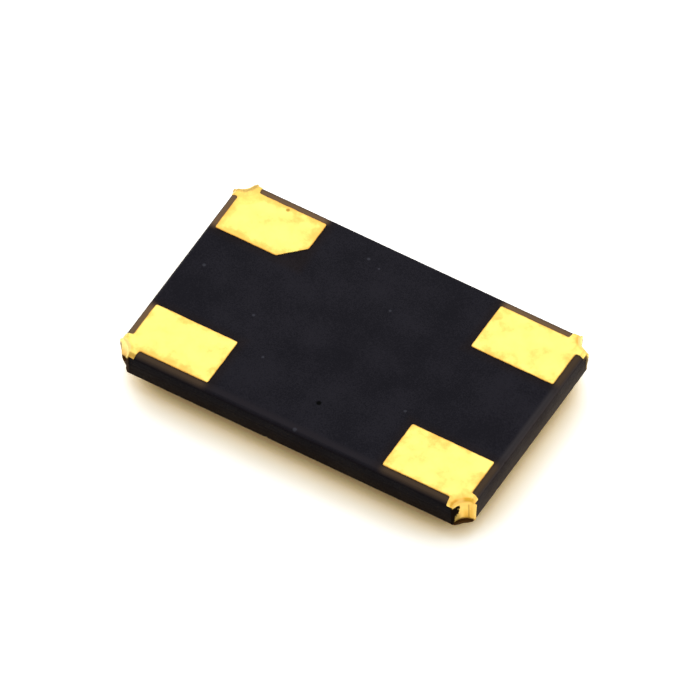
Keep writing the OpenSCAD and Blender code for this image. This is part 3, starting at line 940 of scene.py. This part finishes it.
def black_ceramic():
    s = Shader("black_ceramic")
    at = Place(s)
    cloud = s.noise(0.55, 3, 0.5)
    grain = s.noise(0.016, 3, 0.65)
    side = at.z.fall(SHEET_TOP - TOP_BEVEL - 0.005, SHEET_TOP - 0.004)
    upper = 1 - side
    colour = s.mix(side, face_colour(s, at, cloud, grain), side_colour(s, at, grain))
    # Painted glow of the gold, warming the ceramic by the terminals
    painted_gold_glow = pad_distance(at).rise(-0.16, -0.02)
    colour = s.mix(painted_gold_glow * upper * 0.3, colour, (0.022, 0.013, 0.008))
    # The strips carry a painted highlight and glow, strongest near the terminals and lighter at the back and
    # the left
    lighter = most(at.y > HALF_WIDTH - 0.2, at.x < 0.2 - HALF_LENGTH)
    strip = s.mix(lighter, (0.086, 0.057, 0.035), (0.226, 0.141, 0.078))
    colour = s.mix(strips(at) * upper * 0.85, colour, strip)
    for x, y, radius in DUST:
        colour = s.mix(s.near((x, y, SHEET_TOP), radius) * 0.6, colour, (0.062, 0.064, 0.082))
    # The pit is painted near black: painted shade in its hollow
    pit = s.near((*PIT[:2], SHEET_TOP), PIT[2])
    colour = s.mix(pit, colour, (0.001, 0.001, 0.001))
    # The foot under each lining is painted brown: a painted glow of the gold above it
    foot = at.away.fall(0.2, 0.23) * at.z.fall(LINING_BOTTOM + 0.002, LINING_BOTTOM + 0.01)
    colour = s.mix(foot, colour, (0.075, 0.034, 0.01))
    # Gold smeared down the snapped side beside terminal 2
    smear = at.v.fall(0.21, 0.3) * at.z.rise(SHEET_TOP - 0.14, SHEET_TOP - 0.04)
    smear = smear * ((at.x > HALF_LENGTH - 0.05) * (at.y > 0))
    colour = s.mix(smear * 0.9, colour, (0.46, 0.29, 0.1))
    s.surface(Base_Color=colour, Roughness=cloud.rise(0.3, 0.7, 0.6, 0.72), Specular_IOR_Level=0.03)
    fracture = s.noise(0.04, 4, 0.6) * (side * 2.2)
    s.bump(grain + fracture + pit * -1.5, 0.0035, 0.9)
    return s.material


# ------------ gold plating


# Painted shade on the lips, where the plating bends down into a notch, in brown patches that on terminal 1
# reach out over its land: number of the terminal, turn from and to, distance to the body's corner from and
# to, strength and colour
LIP_SHADE_PATCHES = [
    (3, 0.88, 1.5, 0.18, 0.25, 0.9, (0.72, 0.42, 0.035)),
    (3, -0.1, 0.52, 0.206, 0.262, 0.85, (0.7, 0.38, 0.05)),
    (4, 1.2, 1.7, 0.216, 0.29, 0.75, (0.8, 0.44, 0.08)),
    (2, -0.1, 0.8, 0.208, 0.25, 0.42, (0.78, 0.48, 0.09)),
    (2, 1.1, 1.7, 0.19, 0.24, 0.6, (0.84, 0.56, 0.15)),
    (1, -0.1, 1.7, 0.25, 0.46, 0.65, (0.97, 0.68, 0.15)),
    (1, -0.1, 1.7, 0.2, 0.33, 0.5, (0.8, 0.54, 0.13)),
    (1, -0.1, 1.7, 0.192, 0.26, 0.95, (0.63, 0.43, 0.12)),
]
# A brown dot on terminal 1: x, y and radius
DOT = (-1.8, 1.405, 0.035)


def printed_face(s, at, mottle, fine):
    """The gold print, browner in patches near its edges, and thin and darker along its very edge."""
    inset = pad_distance(at)
    amount = mottle + inset.fall(0, 0.17) * (at.corner[1] * 0.14 + 0.2)
    colour = s.mix(amount.rise(0.53, 0.84), (1, 0.82, 0.212), (0.98, 0.6, 0.135))
    colour = s.mix(fine.rise(0.6, 0.78, 0, 0.22), colour, (0.96, 0.6, 0.13))
    rim = inset.fall(0.002, 0.022) * (inset > -0.012) * at.away.rise(0.3, 0.35)
    return s.mix(rim * 0.75, colour, (0.68, 0.36, 0.07))


def lip_shade_and_browning(s, at, colour, mottle, fine):
    """Browner where the plating bends into a notch, as painted shade on the lips, and where it ends below."""
    blotch = mottle * 0.5 + fine * 0.5
    # Painted shade on the lips, broken up by the mottle
    for number, start, end, low, high, strength, patch_colour in LIP_SHADE_PATCHES:
        within = at.turn.rise(start - 0.14, start + 0.14) * at.turn.fall(end - 0.16, end + 0.16)
        on_lip = at.away.rise(low - 0.01, low + 0.014) * at.away.fall(high - 0.03, high + 0.002)
        share = within * on_lip * blotch.rise(0.36, 0.52, 0.25 * strength, strength)
        colour = s.mix(share * at.corner[number], colour, patch_colour)
    # The front edge of terminal 4's land, and the wall below it
    fourth = at.corner[4]
    front = (at.v + fine * 0.02).fall(0.03, 0.075) * at.away.rise(0.2, 0.215) * fourth * at.u.fall(0.3, 0.34)
    colour = s.mix(front * 0.85, colour, (0.45, 0.235, 0.035))
    colour = s.mix(fourth * at.lining * at.depth.rise(0.05, 0.3, 0.12, 0.85), colour, (0.64, 0.4, 0.1))
    ending = (at.depth + fine * 0.06).rise(0.33, 0.372)
    return s.mix(ending * 0.85, colour, (0.34, 0.17, 0.05))


def gold_plating():
    s = Shader("gold_plating")
    at = TerminalPlace(s)
    third, fourth = at.corner[3], at.corner[4]
    mottle = s.noise(0.22, 4, 0.6)
    fine = s.noise(0.035, 4, 0.6)
    jag = s.noise(0.04, 3, 0.6) - 0.5
    colour = printed_face(s, at, mottle, fine)
    wall = s.mix(third, (1, 0.82, 0.32), (0.9, 0.63, 0.17))
    colour = s.mix(at.lining * 0.8, colour, wall)
    colour = lip_shade_and_browning(s, at, colour, mottle, fine)
    # Terminal 3's lining has a crack, and is thin and then torn away beside the long side
    crack = abs(at.turn - 1.21).fall(0.02, 0.08) * third * (at.lining * at.depth.rise(0.03, 0.06))
    colour = s.mix(crack * 0.7, colour, (0.5, 0.28, 0.05))
    lower = at.depth.rise(0.15, 0.27)
    thin = lower * third * at.turn.fall(0.4, 0.8, 0.7) * at.lining
    colour = s.mix(thin, colour, (0.36, 0.25, 0.05))
    ragged = at.turn + jag * 0.9 + lower * 0.36
    from_lip = at.depth + jag * 0.04
    bare = ragged.fall(0.5, 0.56) * at.away.fall(0.216, 0.224) * third * from_lip.rise(0.026, 0.036)
    # The torn faces beside the other notches are dull, and one is nearly black
    dull = least(at.u, at.v).fall(0.0005, 0.003) * at.depth.rise(0.05, 0.12) * (1 - third)
    colour = s.mix(dull * 0.8, colour, (0.36, 0.27, 0.18))
    burnt = at.v.fall(0.004, 0.012) * from_lip.rise(0.03, 0.06) * fourth * at.away.fall(0.214, 0.224)
    colour = s.mix(burnt, colour, (0.05, 0.03, 0.02))
    colour = s.mix(bare, colour, (0.012, 0.008, 0.006))
    colour = s.mix(s.near((*DOT[:2], TERMINAL_TOP), DOT[2]), colour, (0.5, 0.3, 0.05))
    metallic = 1 - most(bare, most(burnt * 0.8, dull * 0.5))
    roughness = mottle.rise(0.3, 0.7, 0.36, 0.5) + at.away.fall(0.222, 0.25, 0.16)
    s.surface(Base_Color=colour, Metallic=metallic, Roughness=roughness, Specular_IOR_Level=0)
    s.bump(s.noise(0.02, 3, 0.6) + mottle * 1.5, 0.0025, 0.8)
    return s.material


# ------------ other materials


def mottled(name, noise, change, colours, roughness, depth, **settings):
    """A material of two mottled colours; change is the noise between which one becomes the other."""
    s = Shader(name)
    grain = s.noise(*noise)
    s.surface(Base_Color=s.mix(grain.rise(*change), *colours), Roughness=grain.rise(0.3, 0.7, *roughness))
    s.surface(**settings)
    s.bump(grain, depth)
    return s.material


def printed_gold():
    colours = (0.95, 0.7, 0.22), (0.85, 0.56, 0.16)
    return mottled("printed_gold", (0.03, 4, 0.6), (0.35, 0.7), colours, (0.38, 0.52), 0.003, Metallic=1)


def silver_solder():
    colours = (0.74, 0.69, 0.58), (0.62, 0.52, 0.36)
    return mottled("silver_solder", (0.09, 3, 0.5), (0.35, 0.7), colours, (0.24, 0.4), 0.004, Metallic=1)


def electrode_film():
    colours = (0.96, 0.78, 0.36), (0.9, 0.7, 0.3)
    return mottled("electrode_film", (0.15, 3, 0.5), (0.35, 0.65), colours, (0.14, 0.26), 0.0008, Metallic=1)


def gold_wire():
    colours = (1, 0.78, 0.3), (0.9, 0.66, 0.22)
    return mottled("gold_wire", (0.01, 3, 0.5), (0.35, 0.65), colours, (0.18, 0.3), 0.0006, Metallic=1)


def silver_glue():
    colours = (0.4, 0.39, 0.38), (0.66, 0.65, 0.64)
    return mottled("silver_glue", (0.018, 4, 0.7), (0.4, 0.7), colours, (0.45, 0.7), 0.004, Metallic=0.6)


def quartz():
    colours = (0.82, 0.87, 0.88), (0.9, 0.93, 0.93)
    clear = {"Transmission_Weight": 0.85, "IOR": 1.54}
    return mottled("quartz", (0.03, 4, 0.6), (0.3, 0.7), colours, (0.08, 0.22), 0.0008, **clear)


def ring_alloy():
    s = Shader("ring_alloy")
    # Marks of the punch run down the ring's sides
    marks = s.noise(0.014, 4, 0.6, stretch=(1, 1, 0.12))
    cloud = s.noise(0.3, 3, 0.5)
    colour = s.mix(cloud.rise(0.35, 0.65), (0.88, 0.66, 0.28), (0.78, 0.56, 0.24))
    colour = s.mix(marks.rise(0.55, 0.75, 0, 0.35), colour, (0.64, 0.47, 0.23))
    s.surface(Base_Color=colour, Roughness=marks.rise(0.3, 0.7, 0.3, 0.48), Metallic=1)
    s.bump(marks, 0.003)
    return s.material


def molten_colour(s, inset, from_x, from_y):
    """The rollers' overlapping spots, which run along each side and bow towards the middle."""
    x, y, _ = s.axes()
    on_short = from_x < from_y
    bow = most(inset, 0) ** 2 * 2.4
    wander = s.noise(0.1, 3, 0.6) * 0.04
    run = (1 - on_short) * x + on_short * y + (bow + wander)
    spot = s.maths("PINGPONG", run, WELD_PITCH / 2).rise(0, WELD_PITCH * 0.5)
    return s.mix(spot, (0.43, 0.4, 0.36), (0.56, 0.53, 0.49))


def lid_alloy():
    s = Shader("lid_alloy")
    rolled = s.noise(0.02, 4, 0.6, stretch=(0.04, 1, 1))
    cloud = s.noise(0.9, 4, 0.6)
    x, y, _ = s.axes()
    from_x, from_y = LID_HIGH[0] - abs(x), LID_HIGH[1] - abs(y)
    inset = least(from_x, from_y)
    ragged = inset + (s.noise(0.08, 4, 0.6) - 0.5) * 0.05
    weld = ragged.fall(WELD_TRACK - 0.01, WELD_TRACK + 0.03)
    heat = inset.fall(WELD_TRACK + 0.02, WELD_TRACK + 0.16) * (1 - weld)
    colour = s.mix(cloud.rise(0.3, 0.7), (0.63, 0.61, 0.56), (0.58, 0.565, 0.53))
    colour = s.mix(rolled.rise(0.55, 0.75, 0, 0.35), colour, (0.45, 0.43, 0.4))
    colour = s.mix(heat * 0.4, colour, (0.52, 0.42, 0.28))
    colour = s.mix(weld * 0.85, colour, molten_colour(s, inset, from_x, from_y))
    roughness = rolled.rise(0.3, 0.7, 0.26, 0.4) + weld * 0.08
    s.surface(Base_Color=colour, Roughness=roughness, Metallic=1)
    s.bump(rolled + s.noise(0.05, 3, 0.6) * (weld * 1.5), 0.0025)
    return s.material


def silicon():
    s = Shader("silicon")
    blocks, value = s.spots(0.07, stretch=(1, 1, 0.2))
    colour = s.mix(value.rise(0.3, 0.8), (0.14, 0.16, 0.21), (0.24, 0.2, 0.18))
    colour = s.mix(blocks.rise(0.4, 0.6, 0, 0.6), colour, (0.3, 0.3, 0.33))
    s.surface(Base_Color=colour, Roughness=value.rise(0, 1, 0.16, 0.3), Metallic=0.3)
    s.bump(blocks, 0.001)
    return s.material


# ------------ pieces


OUTSIDE = (black_ceramic, gold_plating, printed_gold, silver_solder, ring_alloy, lid_alloy)
INSIDE = (quartz, electrode_film, silver_glue, silicon, gold_wire)
SLOTS = {maker.__name__: maker() for maker in OUTSIDE + INSIDE}

# The CAD nodes keep their shapes inside the sealed package
for part in frame["record"]["subparts"]:
    for slot in nodes[part["node"]].material_slots:
        slot.material = SLOTS[part["material_slot"]]

make_ceramic()
for terminal in TERMINALS:
    make_terminal(*terminal)
make_print()
make_solder()
make_ring()
make_lid()


# ------------ floor, lights and camera


# Share of the sky that a place on the paper sees, and the painted shadow there: a warm tint that darkens the
# paper
PAINTED_SHADOW_TINTS = [
    (0.19, (0.27, 0.216, 0.11)),
    (0.27, (0.62, 0.508, 0.271)),
    (0.34, (0.74, 0.636, 0.4)),
    (0.45, (0.86, 0.761, 0.559)),
    (0.55, (0.95, 0.865, 0.684)),
    (0.61, (1, 0.99, 0.88)),
    (0.67, (1, 1, 1)),
]
# Distance within which the part takes sky from the paper, half the paper's length, and the paper's gap
# below the part
SKY_REACH, PAPER_REACH, PAPER_DROP = 8, 200, 0.0005


def painted_shadow_tint(s):
    """A painted shadow: the warm tint that darkens the paper near the part, from how much sky each place
    sees.
    """
    open_sky = s.add("AmbientOcclusion", {"Distance": SKY_REACH * MM}, samples=8)
    ramp = s.add("ValToRGB", {"Fac": Value(s, open_sky.outputs["AO"])})
    stops = ramp.color_ramp.elements
    while len(stops) < len(PAINTED_SHADOW_TINTS):
        stops.new(0.5)
    for stop, (share, tint) in zip(stops, PAINTED_SHADOW_TINTS):
        stop.position = share
        stop.color = (*tint, 1)
    return Value(s, ramp.outputs["Color"])


def white_paper():
    """White paper that the camera sees over-exposed, with its rendered shadows kept and a warm painted shadow
    added.
    """
    s = Shader("white_paper")
    fibre = s.noise(0.8, 4, 0.6).rise(0.3, 0.7)
    plain = s.mix(fibre, (0.8, 0.76, 0.68), (0.82, 0.78, 0.7))
    bright = s.mix(fibre, (1.88, 1.88, 1.88), (1.92, 1.92, 1.92))
    # Painted shadow: the paper's colour darkened and warmed where it sees less sky
    bright = s.mix(1, bright, painted_shadow_tint(s), "MULTIPLY")
    diffuse = s.add("BsdfDiffuse", {"Color": s.mix(s.seen_by_camera(), plain, bright)})
    s.tree.links.new(diffuse.outputs[0], s.tree.nodes["Material Output"].inputs["Surface"])
    return s.material


def make_floor():
    mesh = bpy.data.meshes.new("floor")
    reach = PAPER_REACH * MM
    mesh.from_pydata([(sx * reach, sy * reach, 0) for sx, sy in CORNERS], [], [(3, 0, 1, 2)])
    mesh.materials.append(white_paper())
    sheet = bpy.data.objects.new("floor", mesh)
    sheet.location.z = cad_box[0].z - PAPER_DROP * MM
    scene.collection.objects.link(sheet)
    return sheet


floor = make_floor()


def spherical(azimuth, elevation):
    """Direction; azimuth is counted from +X towards +Y."""
    a, e = radians(azimuth), radians(elevation)
    return Vector((cos(a) * cos(e), sin(a) * cos(e), sin(e)))


# Where the sky is brightest
BRIGHT_AZIMUTH, BRIGHT_ELEVATION = 120, 50


def studio_world():
    """Soft light from all round that is strongest from the back left, above the part."""
    world = bpy.data.worlds.new("studio")
    world.use_nodes = True
    graph = Graph(world.node_tree)
    inputs = {
        0: Value(graph, graph.add("TexCoord").outputs["Generated"]),
        1: spherical(BRIGHT_AZIMUTH, BRIGHT_ELEVATION),
    }
    facing = graph.add("VectorMath", inputs, operation="DOT_PRODUCT")
    strength = most(Value(graph, facing.outputs["Value"]), 0) ** 2 * 0.66 + 0.58
    background = graph.tree.nodes["Background"]
    background.inputs["Color"].default_value = (1, 0.985, 0.96, 1)
    # The camera, and metal and glass that it looks at, see a pale backdrop beyond the paper
    graph.put(most(strength, graph.seen_by_camera()), background.inputs["Strength"])
    return world


scene.world = studio_world()


def softbox(name, azimuth, elevation, distance, size, radiance, colour):
    """A square lamp that faces the part."""
    lamp = bpy.data.lights.new(name, "AREA")
    lamp.size = size * MM
    lamp.energy = radiance * pi * (size * MM) ** 2
    lamp.color = colour
    holder = bpy.data.objects.new(name, lamp)
    way = spherical(azimuth, elevation)
    holder.location = way * distance * MM
    holder.rotation_euler = way.to_track_quat("Z", "Y").to_euler()
    holder.visible_camera = False
    scene.collection.objects.link(holder)


softbox("back_softbox", 120, 52, distance=60, size=50, radiance=0.3, colour=(1, 0.98, 0.95))

# The camera stands far away and looks at a point just off the middle of the ceramic's upper face
CAMERA_AZIMUTH, CAMERA_ELEVATION, CAMERA_DISTANCE = -59.31, 51.96, 376.9
CAMERA_TARGET = Vector((-0.0042, -0.1003, SHEET_TOP))
VIEW_WIDTH = 8.7224154
SENSOR_WIDTH = 36

camera_data = bpy.data.cameras.new("camera")
camera_data.sensor_width = SENSOR_WIDTH
camera_data.lens = SENSOR_WIDTH * CAMERA_DISTANCE / VIEW_WIDTH
camera_data.clip_start = 1 * MM
camera_data.clip_end = 10
camera = bpy.data.objects.new("camera", camera_data)
view_way = spherical(CAMERA_AZIMUTH, CAMERA_ELEVATION)
camera.location = (CAMERA_TARGET + view_way * CAMERA_DISTANCE) * MM
camera.rotation_euler = view_way.to_track_quat("Z", "Y").to_euler()
scene.collection.objects.link(camera)
scene.camera = camera

scene.view_settings.view_transform = "Standard"
